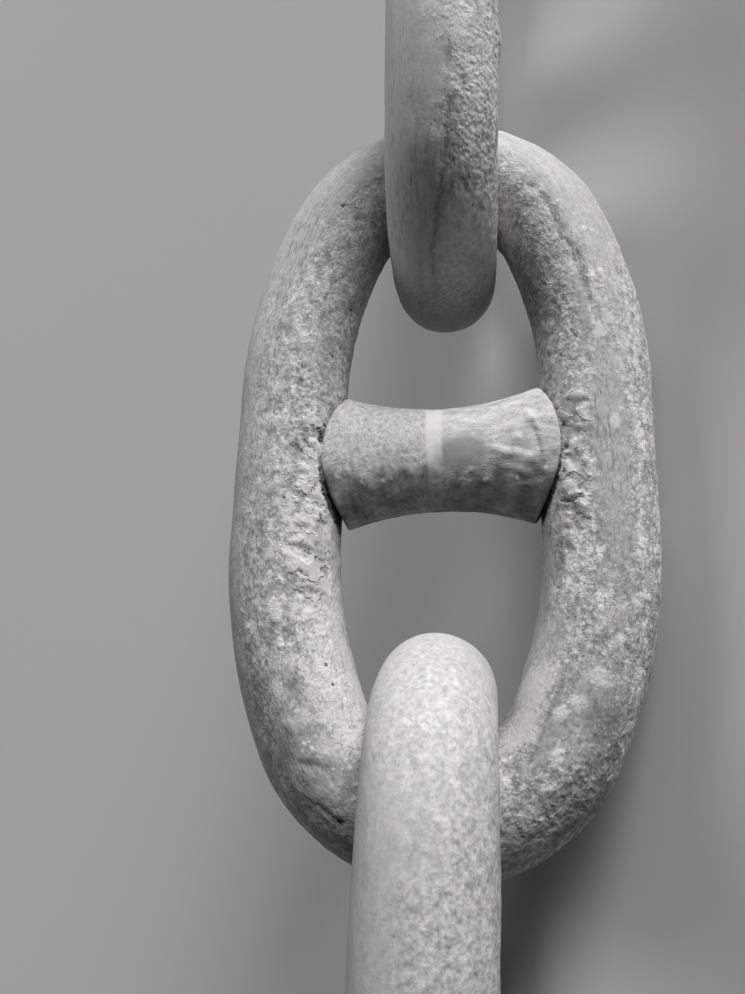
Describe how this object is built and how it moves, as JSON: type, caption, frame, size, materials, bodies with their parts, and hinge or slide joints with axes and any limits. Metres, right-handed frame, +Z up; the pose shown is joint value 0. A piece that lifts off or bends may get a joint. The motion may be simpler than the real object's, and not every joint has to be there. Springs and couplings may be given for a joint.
{
  "type": "stud-link anchor chain length",
  "caption": "Short length of heavy stud-link chain: oval forged links of round bar, each with a cast stud wedged across its eye.",
  "frame": {"origin": "on the floor, under the centre of the middle link", "axes": "+X along the chain, +Z up; the middle link leans 45 degrees with its lower leg at -Y, and its neighbours lean the other way"},
  "size_m": [1.2914, 0.223, 0.2231],
  "materials": {
    "link_paint": "old grey paint over pitted and scaly forged iron, satin",
    "stud_paint": "old grey paint over a cast stud, satin"
  },
  "bodies": {
    "middle": {"middle_link": "link_paint", "middle_stud": "stud_paint"},
    "upper": {"upper_link": "link_paint", "upper_stud": "stud_paint"},
    "lower": {"lower_link": "link_paint", "lower_stud": "stud_paint"}
  },
  "joints": [
    {"name": "upper_swing", "type": "hinge", "parent": "middle", "child": "upper", "pos_m": [0.228, 0, 0.11154], "axis": [0, 0.7071, 0.7071], "range_deg": [-90, 90]},
    {"name": "lower_swing", "type": "hinge", "parent": "middle", "child": "lower", "pos_m": [-0.228, 0, 0.11154], "axis": [0, 0.7071, 0.7071], "range_deg": [-90, 90]}
  ]
}
